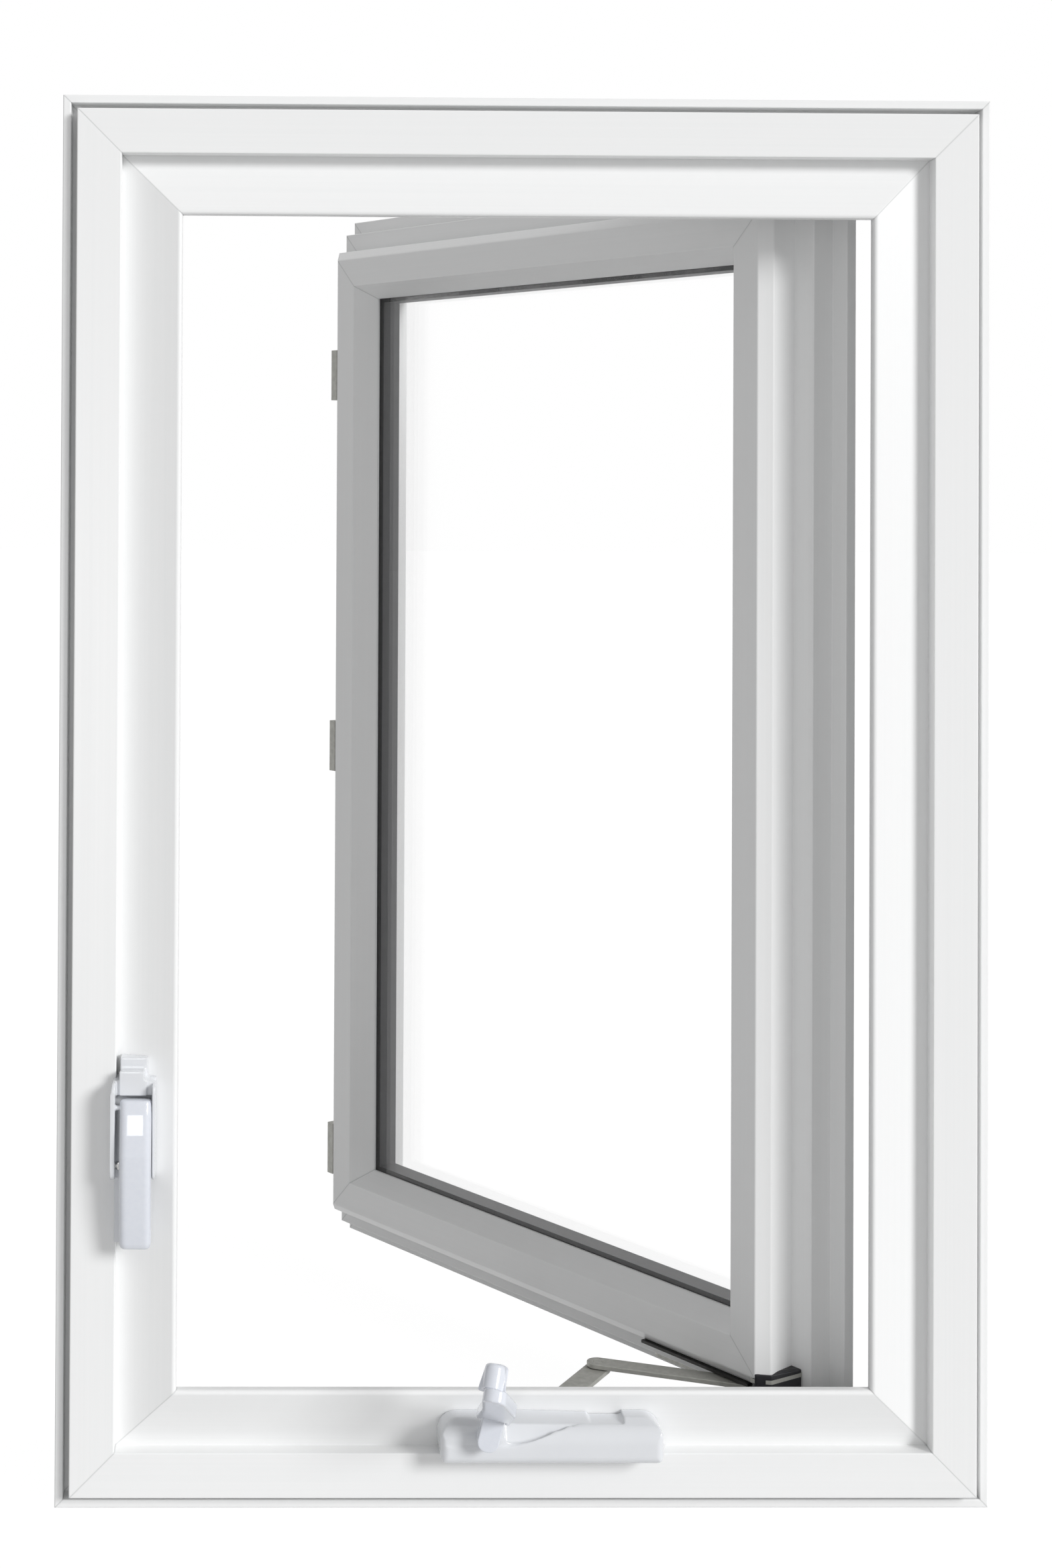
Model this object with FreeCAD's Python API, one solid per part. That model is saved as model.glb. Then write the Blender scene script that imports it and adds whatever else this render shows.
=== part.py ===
import FreeCAD, Part
import math
import os
from FreeCAD import Vector

# Crank-operated casement window in white vinyl, hinged on the right, opening outwards.
# X runs to the right as seen from the room, Y towards the outside, Z up, in millimetres.
# The origin is the middle of the sill's underside, half way through the frame's depth.
# Everything is drawn as the photograph shows it, with the sash opened by rest_angle.

# Overall frame
width = 597.0
height = 902.0
depth = 83.0
wall = 2.8

# Frame section: widths run inwards from the frame's outer edge, depths back from its room face
rib = 5.2
rib_set_back = 9.0
groove = 4.5
groove_depth = 14.0
band = 28.5
step = 13.4
slope_width = 39.2
slope_end = 0.3
lip = 22.0
lip_depth = 8.0
lip_taper = 7.0
lip_round = 2.5
pocket_wall = 24.0
track_groove = 3.5
corner_round = 0.8

# Sash section: widths run inwards from its outer flange, depths back from its room face
sash_inset = 30.0
sash_depth = 54.0
outer_flange = 12.5
outer_flange_depth = 9.0
middle_flange = 17.0
middle_flange_depth = 18.0
sash_bevel = 7.5
bevel_round = 2.0
sash_face = 20.0
glass_leg = 9.0

# Glazing
bead_width = 12.0
bead_depth = 19.0
bead_lip = 1.8
pane = 4.0
pane_gap = 16.0
glass_clearance = 3.0
spacer_sight = 3.0

# Weather seal between the frame's lip and the sash
seal_gap = 6.0
seal_width = 7.0
seal_clearance = 0.4
seal_set_back = 7.5

# Hinge: the two arms are equal, so the pivots stay exact at every angle
rest_angle = 55.0
arm_length = 56.9
pin_inset = 58.9
pin_depth = 64.0
arm_width = 14.0
arm_thickness = 2.8
pin_radius = 3.0
pin_fit = 0.05
level_gap = 0.6
track_width = 17.0
track_wall = 1.5
track_inset = 30.0
track_length = 200.0
shoe_width = 11.0
shoe_lead = 16.0
shoe_fit = 0.3
sash_arm_thickness = 3.0
sash_arm_tail = 70.0

# Operator arms. Insets run from the hinge side of the frame, and elbow_inset is where the
# elbow between the two arms would be with the drive arm laid along the sill.
drive_inset = 292.5
drive_depth = 14.0
elbow_inset = 182.5
drive_width = 17.0
drive_thickness = 3.0
link_length = 100.0
link_width = 15.0
stud_inset = 19.5
stud_depth = 12.0
rivet_radius = 4.0
rivet_height = 1.2
bracket_start = 10.0
bracket_length = 100.0
bracket_width = 16.0
bracket_thickness = 2.0

# Black moulded block under the sash's hinge corner, set back a little from the edges above it
block_set_back = 0.7
block_length = 8.5
block_taper = 5.0
block_height = 13.0
block_round = 1.0

# Gear base in the sill and its openings
base_length = 110.0
base_height = 19.5
base_proud = 12.0
base_back = 19.2
base_fit = 0.3
mouth_left = 14.0
mouth_right = 78.0
mouth_clearance = 5.0

# Operator cover
cover_lead = 60.6
cover_length = 141.0
cover_bottom = 38.6
cover_height = 26.0
cover_proud = 20.0
cover_end_round = 12.0
cover_front_round = 5.0
recess_start = 38.5
recess_swell = 60.4
recess_shoulder = 75.2
recess_crest = 88.6
recess_end = 116.4
recess_low = 11.6
recess_swell_height = 15.8
recess_shoulder_height = 20.6
recess_high = 23.0
recess_depth = 7.5
ramp_start = 0.6
knob_pocket = 15.1
pocket_floor = 6.0
brow_drop = 7.0
brow_run = 11.0

# Folding crank
crank_end = 23.0
crank_level = 56.0
crank_lean = 14.0
crank_base_width = 13.5
crank_base_length = 17.0
crank_base_depth = 9.0
crank_foot = 5.0
crank_gap = 2.0
spindle_radius = 4.0
spindle_gap = 0.8
fold_radius = 4.5
fold_pin_radius = 1.9
crank_raise = 62.0
crank_length = 73.0
crank_sweep = 15.0
crank_width = 21.0
crank_tip_width = 14.0
crank_thickness = 8.0
crank_round = 2.0
fork_wall = 3.0
fork_depth = 6.3
knob_length = 15.0
knob_radius = 6.5
knob_round = 2.5

# Lock
lock_inset = 35.2
lock_width = 28.5
lock_top = 288.0
lock_body_height = 75.0
lock_height = 116.0
lock_plate = 3.0
lock_strip_width = 16.0
lock_strip_inset = 2.0
lock_round = 5.0
cap_proud = 11.0
cap_inset = 5.6
shoulder_proud = 9.0
cheek = 3.4
right_cheek = 1.9
cheek_proud = 18.0
cheek_above = 10.0
lever_drop = 27.7
lever_out = 14.0
lever_head = 5.5
lever_gap = 3.1
lever_clearance = 0.8
lever_length = 93.8
lever_thickness = 7.5
lever_bow = 24.0
lever_tip = 19.0
lever_round = 2.5
lever_corner = 4.0

# Lock bar in the jamb's pocket, its rollers, and the keepers on the sash
bar_width = 16.0
bar_thickness = 3.0
bar_end_bottom = 60.0
bar_end_top = 112.0
bar_depth = 46.0
bar_fit = 0.3
roller_radius = 4.0
roller_reach = 30.2
roller_offset = 32.0
keeper_from_bottom = 109.0
keeper_from_top = 160.0
keeper_below_middle = 13.0
keeper_height = 41.0
keeper_proud = 7.0
keeper_depth = 8.0
keeper_back = 5.0

# How far a cutting shape reaches past what it cuts, and the share of a half width that a
# rounded end's radius takes, which leaves a short flat between the two arcs
overcut = 1.0
end_rounding = 0.93

half = width / 2
room_face = -depth / 2
band_end = rib + groove + band
lip_inset = band_end + slope_width
slope = (step - slope_end) / slope_width
sash_room = lip + seal_gap
sash_edge = outer_flange + middle_flange
sash_face_end = sash_edge + sash_bevel + sash_face
glass_depth = 2 * pane + pane_gap
track_floor = pocket_wall - track_groove
shoe_x = half - pin_inset
fixed_x = shoe_x - 2 * arm_length
sash_arm_level = sash_inset + outer_flange - sash_arm_thickness
support_level = sash_arm_level - level_gap - arm_thickness
sash_underside = sash_inset + sash_edge
sash_corner = half - sash_underside - sash_bevel
link_level = sash_underside - bracket_thickness - level_gap - drive_thickness
drive_level = link_level - level_gap - drive_thickness
drive_x = half - drive_inset
drive_length = drive_inset - elbow_inset
mouth_front = drive_depth - drive_width / 2 - mouth_clearance
crank_x = drive_x - base_length / 2 + crank_end
keeper_levels = (keeper_from_bottom, height / 2 - keeper_below_middle, height - keeper_from_top)

UP = Vector(0, 0, 1)
OUT = Vector(0, -1, 0)
RIGHT = Vector(1, 0, 0)


def place_y(back):
    """Y of a point that lies this far behind the frame's room face."""
    return room_face + back


def box(x0, x1, back0, back1, z0, z1):
    corner = Vector(min(x0, x1), place_y(min(back0, back1)), min(z0, z1))
    return Part.makeBox(abs(x1 - x0), abs(back1 - back0), abs(z1 - z0), corner)


def rod(radius, length, start, direction):
    return Part.makeCylinder(radius, length, start, direction)


def post(x, back, radius, z0, z1):
    return rod(radius, z1 - z0, Vector(x, place_y(back), z0), UP)


def fuse(shapes):
    return shapes[0].multiFuse(shapes[1:]).removeSplitter()


def largest(shape):
    return max(shape.Solids, key=lambda solid: solid.Volume)


def rounded_face(corners, place):
    """Flat face through (a, b, radius) corners, where place(a, b) gives the 3-D point."""
    points = [place(a, b) for a, b, radius in corners]
    count = len(points)
    starts = list(points)
    ends = list(points)
    arcs = [None] * count
    for i, (here, corner) in enumerate(zip(points, corners)):
        if corner[2] <= 0:
            continue
        to_before = (points[i - 1] - here).normalize()
        to_after = (points[(i + 1) % count] - here).normalize()
        half_turn = to_before.getAngle(to_after) / 2
        reach = corner[2] / math.tan(half_turn)
        starts[i] = here + to_before * reach
        ends[i] = here + to_after * reach
        inwards = (to_before + to_after).normalize()
        middle = here + inwards * (corner[2] / math.sin(half_turn) - corner[2])
        arcs[i] = Part.Arc(starts[i], middle, ends[i]).toShape()
    edges = []
    for i in range(count):
        if arcs[i] is not None:
            edges.append(arcs[i])
        follow = (i + 1) % count
        if (starts[follow] - ends[i]).Length > 1e-6:
            edges.append(Part.LineSegment(ends[i], starts[follow]).toShape())
    return Part.Face(Part.Wire(edges))


def mitred_member(section, side, left, right, bottom, top, back):
    """Extrude a section along one side of a rectangle and cut its ends at 45 degrees.

    A section is a list of outlines, the outer one first and its chambers after it. Its
    first coordinate runs inwards from the rectangle's edge, its second towards the outside.
    """
    places = {
        "sill": lambda a, b: Vector(left, back + b, bottom + a),
        "head": lambda a, b: Vector(left, back + b, top - a),
        "left": lambda a, b: Vector(left + a, back + b, bottom),
        "right": lambda a, b: Vector(right - a, back + b, bottom),
    }
    faces = [rounded_face(outline, places[side]) for outline in section]
    face = faces[0].cut(faces[1:]) if len(faces) > 1 else faces[0]
    run = RIGHT * (right - left) if side in ("sill", "head") else UP * (top - bottom)
    bar = face.extrude(run)
    mid = (right - left) / 2
    wedges = {
        "sill": [(left, bottom), (right, bottom), (left + mid, bottom + mid)],
        "head": [(left, top), (right, top), (left + mid, top - mid)],
        "left": [(left, bottom), (left + mid, bottom + mid), (left + mid, top - mid), (left, top)],
        "right": [(right, bottom), (right - mid, bottom + mid), (right - mid, top - mid), (right, top)],
    }
    corners = [Vector(x, back - depth, z) for x, z in wedges[side]]
    wedge = Part.Face(Part.makePolygon(corners + corners[:1])).extrude(Vector(0, 3 * depth, 0))
    return largest(bar.common(wedge))


def frame_section():
    groove_end = rib_set_back + groove_depth
    track_front = pin_depth - track_width / 2
    track_back = pin_depth + track_width / 2
    outline = [
        (0, rib_set_back, corner_round), (rib, rib_set_back, corner_round),
        (rib, groove_end, 0), (rib + groove, groove_end, 0),
        (rib + groove, 0, corner_round), (band_end, 0, corner_round),
        (band_end, step, 0), (lip_inset, slope_end, lip_round),
        (lip_inset, lip_depth, corner_round), (lip_inset - lip_taper, lip, corner_round),
        (pocket_wall, lip, 0), (pocket_wall, track_front, 0), (track_floor, track_front, 0),
        (track_floor, track_back, 0), (pocket_wall, track_back, 0),
        (pocket_wall, depth, corner_round), (0, depth, corner_round),
    ]
    band_chamber = [
        (rib + groove + wall, wall, 0), (band_end - wall, wall, 0),
        (band_end - wall, lip - wall, 0), (rib + groove + wall, lip - wall, 0),
    ]
    slope_chamber = [
        (band_end, step + wall, 0), (lip_inset - wall, slope_end + wall * (1 + slope), 0),
        (lip_inset - wall, lip_depth, 0), (lip_inset - lip_taper - wall, lip - wall, 0),
        (band_end, lip - wall, 0),
    ]
    back_chamber = [
        (wall, groove_end + wall, 0), (track_floor - wall, groove_end + wall, 0),
        (track_floor - wall, depth - wall, 0), (wall, depth - wall, 0),
    ]
    return [outline, band_chamber, slope_chamber, back_chamber]


def sash_section():
    flange_front = sash_depth - outer_flange_depth
    middle_front = flange_front - middle_flange_depth
    rebate = bead_depth + glass_depth
    leg_end = sash_face_end + glass_leg
    outline = [
        (0, flange_front, corner_round), (outer_flange, flange_front, 0),
        (outer_flange, middle_front, corner_round), (sash_edge, middle_front, 0),
        (sash_edge, sash_bevel, bevel_round), (sash_edge + sash_bevel, 0, bevel_round),
        (sash_face_end, 0, 0), (sash_face_end, rebate, 0),
        (leg_end, rebate, 0), (leg_end, sash_depth, corner_round), (0, sash_depth, corner_round),
    ]
    chamber = [
        (sash_edge + wall, sash_bevel + wall, 0), (sash_edge + sash_bevel + wall, wall, 0),
        (sash_face_end - wall, wall, 0), (sash_face_end - wall, sash_depth - wall, 0),
        (sash_edge + wall, sash_depth - wall, 0),
    ]
    return [outline, chamber]


def bead_section():
    inner = sash_face_end + bead_width
    return [[
        (sash_face_end, 0, 0), (sash_face_end + bead_lip, 0, corner_round / 2),
        (inner, bead_depth - bead_lip, corner_round / 2), (inner, bead_depth, 0),
        (sash_face_end, bead_depth, 0),
    ]]


def shoe_travel(angle):
    """How far the shoe has slid when the sash is open by this angle."""
    return 2 * arm_length * (1 - math.cos(math.radians(angle)))


def opened(shape):
    """Move a piece drawn with the sash closed to where it is at the rest angle."""
    moved = shape.copy()
    moved.rotate(Vector(shoe_x, place_y(pin_depth), 0), UP, -rest_angle)
    moved.translate(RIGHT * -shoe_travel(rest_angle))
    return moved


def at_head(shape):
    """The like piece at the head of the window."""
    return shape.mirror(Vector(0, 0, height / 2), UP)


def link_plate(first, last, wide, thick, level):
    """Flat bar between two pivots, round at both ends."""
    along = (last - first).normalize()
    across = Vector(-along.y, along.x, 0) * (wide / 2)
    end = along * (wide / 2)
    outline = [
        Part.LineSegment(first - across, last - across).toShape(),
        Part.Arc(last - across, last + end, last + across).toShape(),
        Part.LineSegment(last + across, first + across).toShape(),
        Part.Arc(first + across, first - end, first - across).toShape(),
    ]
    plate = Part.Face(Part.Wire(outline)).extrude(UP * thick)
    plate.translate(UP * level)
    return plate


def heading(angle):
    return Vector(math.cos(math.radians(angle)), math.sin(math.radians(angle)), 0)


def make_frame():
    sides = {"frame_sill": "sill", "frame_head": "head",
             "frame_jamb_lock": "left", "frame_jamb_hinge": "right"}
    section = frame_section()
    return {name: mitred_member(section, side, -half, half, 0, height, room_face)
            for name, side in sides.items()}


def make_sash():
    left, right = -half + sash_inset, half - sash_inset
    bottom, top = sash_inset, height - sash_inset
    rails = {"sash_bottom_rail": "sill", "sash_top_rail": "head",
             "sash_lock_stile": "left", "sash_hinge_stile": "right"}
    beads = {"bead_bottom": "sill", "bead_top": "head", "bead_lock_side": "left", "bead_hinge_side": "right"}
    nodes = {}
    for section, sides in ((sash_section(), rails), (bead_section(), beads)):
        for name, side in sides.items():
            member = mitred_member(section, side, left, right, bottom, top, place_y(sash_room))
            nodes[name] = opened(member)
    return nodes


def ring(inset, wide, back0, back1):
    """Rectangular ring, its outer side this far inside the frame's outer edge."""
    inner = inset + wide
    outer = box(-half + inset, half - inset, back0, back1, inset, height - inset)
    return outer.cut(box(-half + inner, half - inner, back0, back1, inner, height - inner))


def make_glazing():
    edge = sash_inset + sash_face_end + glass_clearance
    front = sash_room + bead_depth
    rear = front + pane + pane_gap
    nodes = {}
    for name, start in (("glass_inner", front), ("glass_outer", rear)):
        nodes[name] = opened(box(-half + edge, half - edge, start, start + pane, edge, height - edge))
    spacer_width = bead_width - glass_clearance + spacer_sight
    nodes["glass_spacer"] = opened(ring(edge, spacer_width, front + pane, rear))
    return nodes


def make_seal():
    return ring(lip_inset - seal_set_back - seal_width, seal_width, lip, sash_room - seal_clearance)


def make_track():
    """Channel on the pocket's floor, with the fixed pivot standing in it."""
    right = half - track_inset
    left = right - track_length
    front = pin_depth - track_width / 2
    back = pin_depth + track_width / 2
    base = track_floor + track_wall
    track = box(left, right, front, back, track_floor, pocket_wall)
    track = track.cut(box(left + track_wall, right - track_wall, front + track_wall, back - track_wall,
                          base, pocket_wall))
    boss = post(fixed_x, pin_depth, 2 * pin_radius, base, support_level - level_gap / 2)
    pin = post(fixed_x, pin_depth, pin_radius, base, support_level + arm_thickness)
    return fuse([track, boss, pin])


def make_support_arm():
    """Arm from the fixed pivot to the sash arm, with the pin that joins the two."""
    fixed = Vector(fixed_x, place_y(pin_depth), 0)
    joint = fixed + heading(rest_angle) * arm_length
    arm = link_plate(fixed, joint, arm_width, arm_thickness, support_level)
    arm = arm.cut(post(fixed_x, pin_depth, pin_radius + pin_fit, 0, height))
    pin = rod(pin_radius, arm_thickness + level_gap + sash_arm_thickness, joint + UP * support_level, UP)
    return fuse([arm, pin])


def make_sash_arm():
    pivot = Vector(shoe_x, place_y(pin_depth), 0)
    arm = link_plate(pivot - RIGHT * (arm_length + sash_arm_tail), pivot, arm_width,
                     sash_arm_thickness, sash_arm_level)
    for x in (shoe_x, shoe_x - arm_length):
        arm = arm.cut(post(x, pin_depth, pin_radius + pin_fit, 0, height))
    return opened(arm)


def make_shoe():
    """Sliding shoe, with the pin that carries the sash arm."""
    x = shoe_x - shoe_travel(rest_angle)
    floor = track_floor + track_wall + shoe_fit
    top = sash_arm_level - level_gap
    block = box(x - shoe_lead, x, pin_depth - shoe_width / 2, pin_depth + shoe_width / 2, floor, top)
    end = post(x, pin_depth, shoe_width / 2, floor, top)
    pin = post(x, pin_depth, pin_radius, floor, sash_arm_level + sash_arm_thickness)
    return fuse([block, end, pin])


def make_hinges():
    pieces = {"hinge_track": make_track(), "support_arm": make_support_arm(),
              "sash_arm": make_sash_arm(), "hinge_shoe": make_shoe()}
    nodes = {name + "_bottom": shape for name, shape in pieces.items()}
    nodes.update({name + "_top": at_head(shape) for name, shape in pieces.items()})
    return nodes


def circles_meet(first, first_radius, second, second_radius):
    """Where two circles in plan meet, on the side that faces the outside."""
    between = second - first
    span = between.Length
    along = (first_radius ** 2 + span ** 2 - second_radius ** 2) / (2 * span)
    between.normalize()
    rise = math.sqrt(first_radius ** 2 - along ** 2)
    return first + between * along + Vector(-between.y, between.x, 0) * rise


def make_operator_arms():
    """Drive arm, link and the plate under the sash that the link runs to."""
    pivot = Vector(drive_x, place_y(drive_depth), 0)
    stud = Vector(sash_corner - stud_inset, place_y(sash_room + stud_depth), 0)
    marker = opened(Part.Vertex(stud))
    tip = Vector(marker.Point.x, marker.Point.y, 0)
    elbow = circles_meet(pivot, drive_length, tip, link_length)
    drive = link_plate(pivot, elbow, drive_width, drive_thickness, drive_level)
    drive = drive.cut(rod(pin_radius + pin_fit, height, pivot, UP))
    elbow_pin = rod(pin_radius, link_level + drive_thickness - drive_level, elbow + UP * drive_level, UP)
    drive = fuse([drive, elbow_pin])
    link = link_plate(elbow, tip, link_width, drive_thickness, link_level)
    link = link.cut(rod(pin_radius + pin_fit, height, elbow, UP))
    link = fuse([link, rod(rivet_radius, rivet_height, tip + UP * (link_level - rivet_height), UP)])
    end = sash_corner - bracket_start
    middle = sash_room + stud_depth
    bracket = box(end - bracket_length, end, middle - bracket_width / 2, middle + bracket_width / 2,
                  sash_underside - bracket_thickness, sash_underside)
    return {"drive_arm": drive, "link_arm": link, "link_bracket": opened(bracket)}


def make_hinge_block():
    """Black block under the sash's hinge corner, with the corner's own bevelled outline."""
    edge = sash_edge + block_set_back
    end = edge + block_length
    rear = sash_depth - outer_flange_depth - middle_flange_depth - block_set_back
    outline = [(edge, rear, block_round), (edge, sash_bevel + block_set_back, block_round),
               (edge + sash_bevel, block_set_back, block_round), (end, block_set_back, 0),
               (end - block_taper, rear, 0)]
    face = rounded_face(outline, lambda a, b: Vector(half - sash_inset - a, place_y(sash_room + b),
                                                     sash_underside - block_height))
    return opened(face.extrude(UP * block_height))


def base_box(grow):
    """The gear base's block, or with a positive growth the opening that it sits in."""
    start = band_end + wall
    return box(drive_x - base_length / 2 - grow, drive_x + base_length / 2 + grow, -base_proud - grow,
               base_back + grow, start - grow, start + base_height + grow)


def arm_mouth(front, grow):
    """Space that the drive arm sweeps on its way out of the gear base."""
    low = drive_level - mouth_clearance - grow
    high = drive_level + drive_thickness + mouth_clearance + grow
    return box(drive_x - mouth_left - grow, drive_x + mouth_right + grow, front, depth, low, high)


def make_base():
    base = base_box(0).cut(arm_mouth(mouth_front, 0))
    pin = post(drive_x, drive_depth, pin_radius, drive_level - mouth_clearance,
               drive_level + drive_thickness + mouth_clearance)
    return fuse([base, pin])


def make_cover(sill):
    """Moulded cover with a ramped recess that the folded crank lies in."""
    left = drive_x - cover_lead
    right = left + cover_length
    low = cover_bottom
    high = cover_bottom + cover_height
    front = -cover_proud
    place = {"front": lambda a, b: Vector(left + a, place_y(front), low + b),
             "side": lambda a, b: Vector(left, place_y(a), low + b),
             "above": lambda a, b: Vector(left + a, place_y(front + b), low - overcut)}
    end = cover_end_round
    block = rounded_face([(0, 0, end / 2), (cover_length, 0, end / 2), (cover_length, cover_height, end),
                          (0, cover_height, end)], place["front"]).extrude(Vector(0, cover_proud + lip, 0))
    side = rounded_face([(front, 0, cover_front_round), (front, cover_height - brow_drop, end),
                         (front + brow_run, cover_height, cover_front_round), (lip, cover_height, 0),
                         (lip, 0, 0)], place["side"])
    block = block.common(side.extrude(RIGHT * cover_length))
    rim = Part.BSplineCurve()
    rim.interpolate([place["front"](a, b) for a, b in (
        (recess_start, recess_low), (recess_swell, recess_swell_height),
        (recess_shoulder, recess_shoulder_height), (recess_crest, recess_high), (recess_end, recess_high))])
    above = [place["front"](recess_end, recess_high), place["front"](recess_end, 2 * cover_height),
             place["front"](-overcut, 2 * cover_height), place["front"](-overcut, recess_low),
             place["front"](recess_start, recess_low)]
    edges = [rim.toShape()] + [Part.LineSegment(a, b).toShape() for a, b in zip(above, above[1:])]
    channel = Part.Face(Part.Wire(edges)).extrude(Vector(0, cover_proud, 0))
    ramp = rounded_face([(-overcut, -overcut, 0), (cover_length, -overcut, 0),
                         (cover_length, recess_depth, 0), (recess_crest, recess_depth, 0),
                         (recess_start, ramp_start, 0), (-overcut, ramp_start, 0)], place["above"])
    ramp = ramp.extrude(UP * (2 * cover_height))
    pocket = box(left + recess_end - knob_pocket, left + recess_end, front - overcut, front + cover_proud,
                 low + pocket_floor, high + overcut)
    hollow = base_box(base_fit).fuse(arm_mouth(mouth_front, base_fit))
    cover = block.cut([channel.common(ramp), pocket.common(channel), hollow, sill])
    spindle_foot = Vector(crank_x, place_y(-base_proud - base_fit), crank_level)
    return largest(cover.cut(rod(spindle_radius + spindle_gap, cover_proud, spindle_foot, OUT)))


def turned(shape):
    """Lean the crank from straight up to where the photograph shows it."""
    moved = shape.copy()
    moved.rotate(Vector(crank_x, 0, crank_level), Vector(0, 1, 0), crank_lean)
    return moved


def make_crank():
    """Hub on the spindle, forked arm on a cross pin, and the knob at the arm's end."""
    front = -cover_proud - crank_gap
    fold_z = crank_level + crank_base_length
    fold = Vector(crank_x, place_y(front - crank_base_depth / 2), fold_z)
    wide = crank_base_width / 2
    low = crank_level - crank_foot
    foot_round = wide * end_rounding
    outline = [(-wide, low, foot_round), (wide, low, foot_round), (wide, fold_z, 0), (-wide, fold_z, 0)]
    face = rounded_face(outline, lambda a, b: Vector(crank_x + a, place_y(front), b))
    block = face.extrude(OUT * crank_base_depth)
    barrel = rod(fold_radius, 2 * wide, fold - RIGHT * wide, RIGHT)
    spindle_foot = Vector(crank_x, place_y(-base_proud), crank_level)
    hub = fuse([block, barrel, rod(spindle_radius, -base_proud - front, spindle_foot, OUT)])
    hub = hub.cut(rod(fold_pin_radius + pin_fit, crank_width, fold - RIGHT * (crank_width / 2), RIGHT))

    root = crank_width / 2
    tip = crank_tip_width / 2
    thick = crank_thickness
    waist = crank_length / 2
    bend = 4 * crank_round
    tip_round = tip * end_rounding
    profile = [(-root, 0, 0), (root, 0, 0), (root - crank_sweep / 4, waist, bend),
               (tip - crank_sweep, crank_length, tip_round), (-tip - crank_sweep, crank_length, tip_round),
               (-root - crank_sweep / 4, waist, bend)]
    blade = rounded_face(profile, lambda a, b: Vector(a, -thick / 2, b)).extrude(Vector(0, thick, 0))
    arm = fuse([blade, rod(thick / 2, crank_width, Vector(-root, 0, 0), RIGHT)])
    slot = root - fork_wall
    opening = Part.makeBox(2 * slot, 2 * thick, thick + fork_depth, Vector(-slot, -thick, -thick))
    arm = arm.cut(opening)
    arm = fuse([arm, rod(fold_pin_radius, 2 * (slot + overcut), Vector(-slot - overcut, 0, 0), RIGHT)])
    knob_seat = Vector(-crank_sweep, thick / 2, crank_length - crank_tip_width / 2 - knob_round)
    knob = rod(knob_radius, knob_length, knob_seat, Vector(0, 1, 0))
    far = [edge for edge in knob.Edges if abs(edge.CenterOfMass.y - thick / 2 - knob_length) < 1e-3]
    knob = knob.makeFillet(knob_round, far)
    nodes = {"crank_hub": turned(hub)}
    for name, shape in (("crank_arm", arm), ("crank_knob", knob)):
        shape.rotate(Vector(0, 0, 0), RIGHT, crank_raise)
        shape.translate(fold)
        nodes[name] = turned(shape)
    return nodes


def make_lock(jamb):
    """Housing with a cap and two cheeks, and the lever on a cross pin between the cheeks."""
    left = -half + lock_inset
    right = left + lock_width
    foot = lock_top - lock_body_height
    pivot_z = lock_top - lever_drop
    lever_top = pivot_z + lever_head
    shoulder_top = lever_top + cheek_above
    lever_left = left + cheek + lever_gap
    lever_right = right - right_cheek - lever_clearance

    def cheek_shape(start, thick):
        outline = [(step, foot, 0), (-lock_plate, foot, 0), (-cheek_proud, foot + lock_plate, lock_round),
                   (-cheek_proud, shoulder_top, lock_round), (step, shoulder_top, 0)]
        face = rounded_face(outline, lambda a, b: Vector(start, place_y(a), b))
        return face.extrude(RIGHT * thick)

    cap_foot = lever_top + lever_clearance
    cap = rounded_face([(step, cap_foot, 0), (-cap_proud, cap_foot, lever_clearance),
                        (-cap_proud, lock_top, lock_round), (step, lock_top, 0)],
                       lambda a, b: Vector(left + cap_inset, place_y(a), b))
    cap = cap.extrude(RIGHT * (lock_width - 2 * cap_inset))
    shoulder = box(left, right, -shoulder_proud, step, cap_foot, shoulder_top)
    plate = box(left, right, -lock_plate, step, foot, cap_foot)
    strip_left = left + lock_strip_inset
    strip = box(strip_left, strip_left + lock_strip_width, -lock_plate / 2, step,
                lock_top - lock_height, foot)
    pin = rod(pin_radius / 2, lock_width, Vector(left, place_y(-lever_out), pivot_z), RIGHT)
    cheeks = [cheek_shape(left, cheek), cheek_shape(right - right_cheek, right_cheek)]
    escutcheon = largest(fuse([cap, shoulder, plate, strip, pin] + cheeks).cut(jamb))

    tip_z = lever_top - lever_length
    bow_z = pivot_z - lever_length / 3
    inner = -lever_out + lever_head
    head_round = lever_head * end_rounding
    side = rounded_face([
        (inner, lever_top, head_round), (-lever_out - lever_head, lever_top, head_round),
        (-lever_bow, bow_z, 4 * lever_thickness), (-lever_tip, tip_z, lever_round),
        (-lever_tip + lever_thickness - 1, tip_z, lever_round),
        (-lever_bow + lever_thickness, bow_z, 2 * lever_thickness), (inner, pivot_z - lever_head, lever_round),
    ], lambda a, b: Vector(lever_left, place_y(a), b)).extrude(RIGHT * (lever_right - lever_left))
    front = rounded_face([
        (lever_left, tip_z, lever_corner), (lever_right, tip_z, lever_corner),
        (lever_right, lever_top, 0), (lever_left, lever_top, lever_corner),
    ], lambda a, b: Vector(a, place_y(-2 * lever_bow), b)).extrude(Vector(0, 2 * lever_bow, 0))
    lever = side.common(front)
    bore = Vector(left, place_y(-lever_out), pivot_z)
    lever = lever.cut(rod(pin_radius / 2 + pin_fit, lock_width, bore, RIGHT))
    return {"lock_escutcheon": escutcheon, "lock_lever": lever}


def make_lock_bar():
    """Flat bar on the jamb's pocket wall, with three rollers that pull the keepers in."""
    start = -half + pocket_wall + bar_fit
    bar = box(start, start + bar_thickness, bar_depth - bar_width / 2, bar_depth + bar_width / 2,
              bar_end_bottom, height - bar_end_top)
    feet = [Vector(start, place_y(bar_depth), level - roller_offset) for level in keeper_levels]
    rollers = [rod(roller_radius, roller_reach, foot, RIGHT) for foot in feet]
    return fuse([bar] + rollers)


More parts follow.
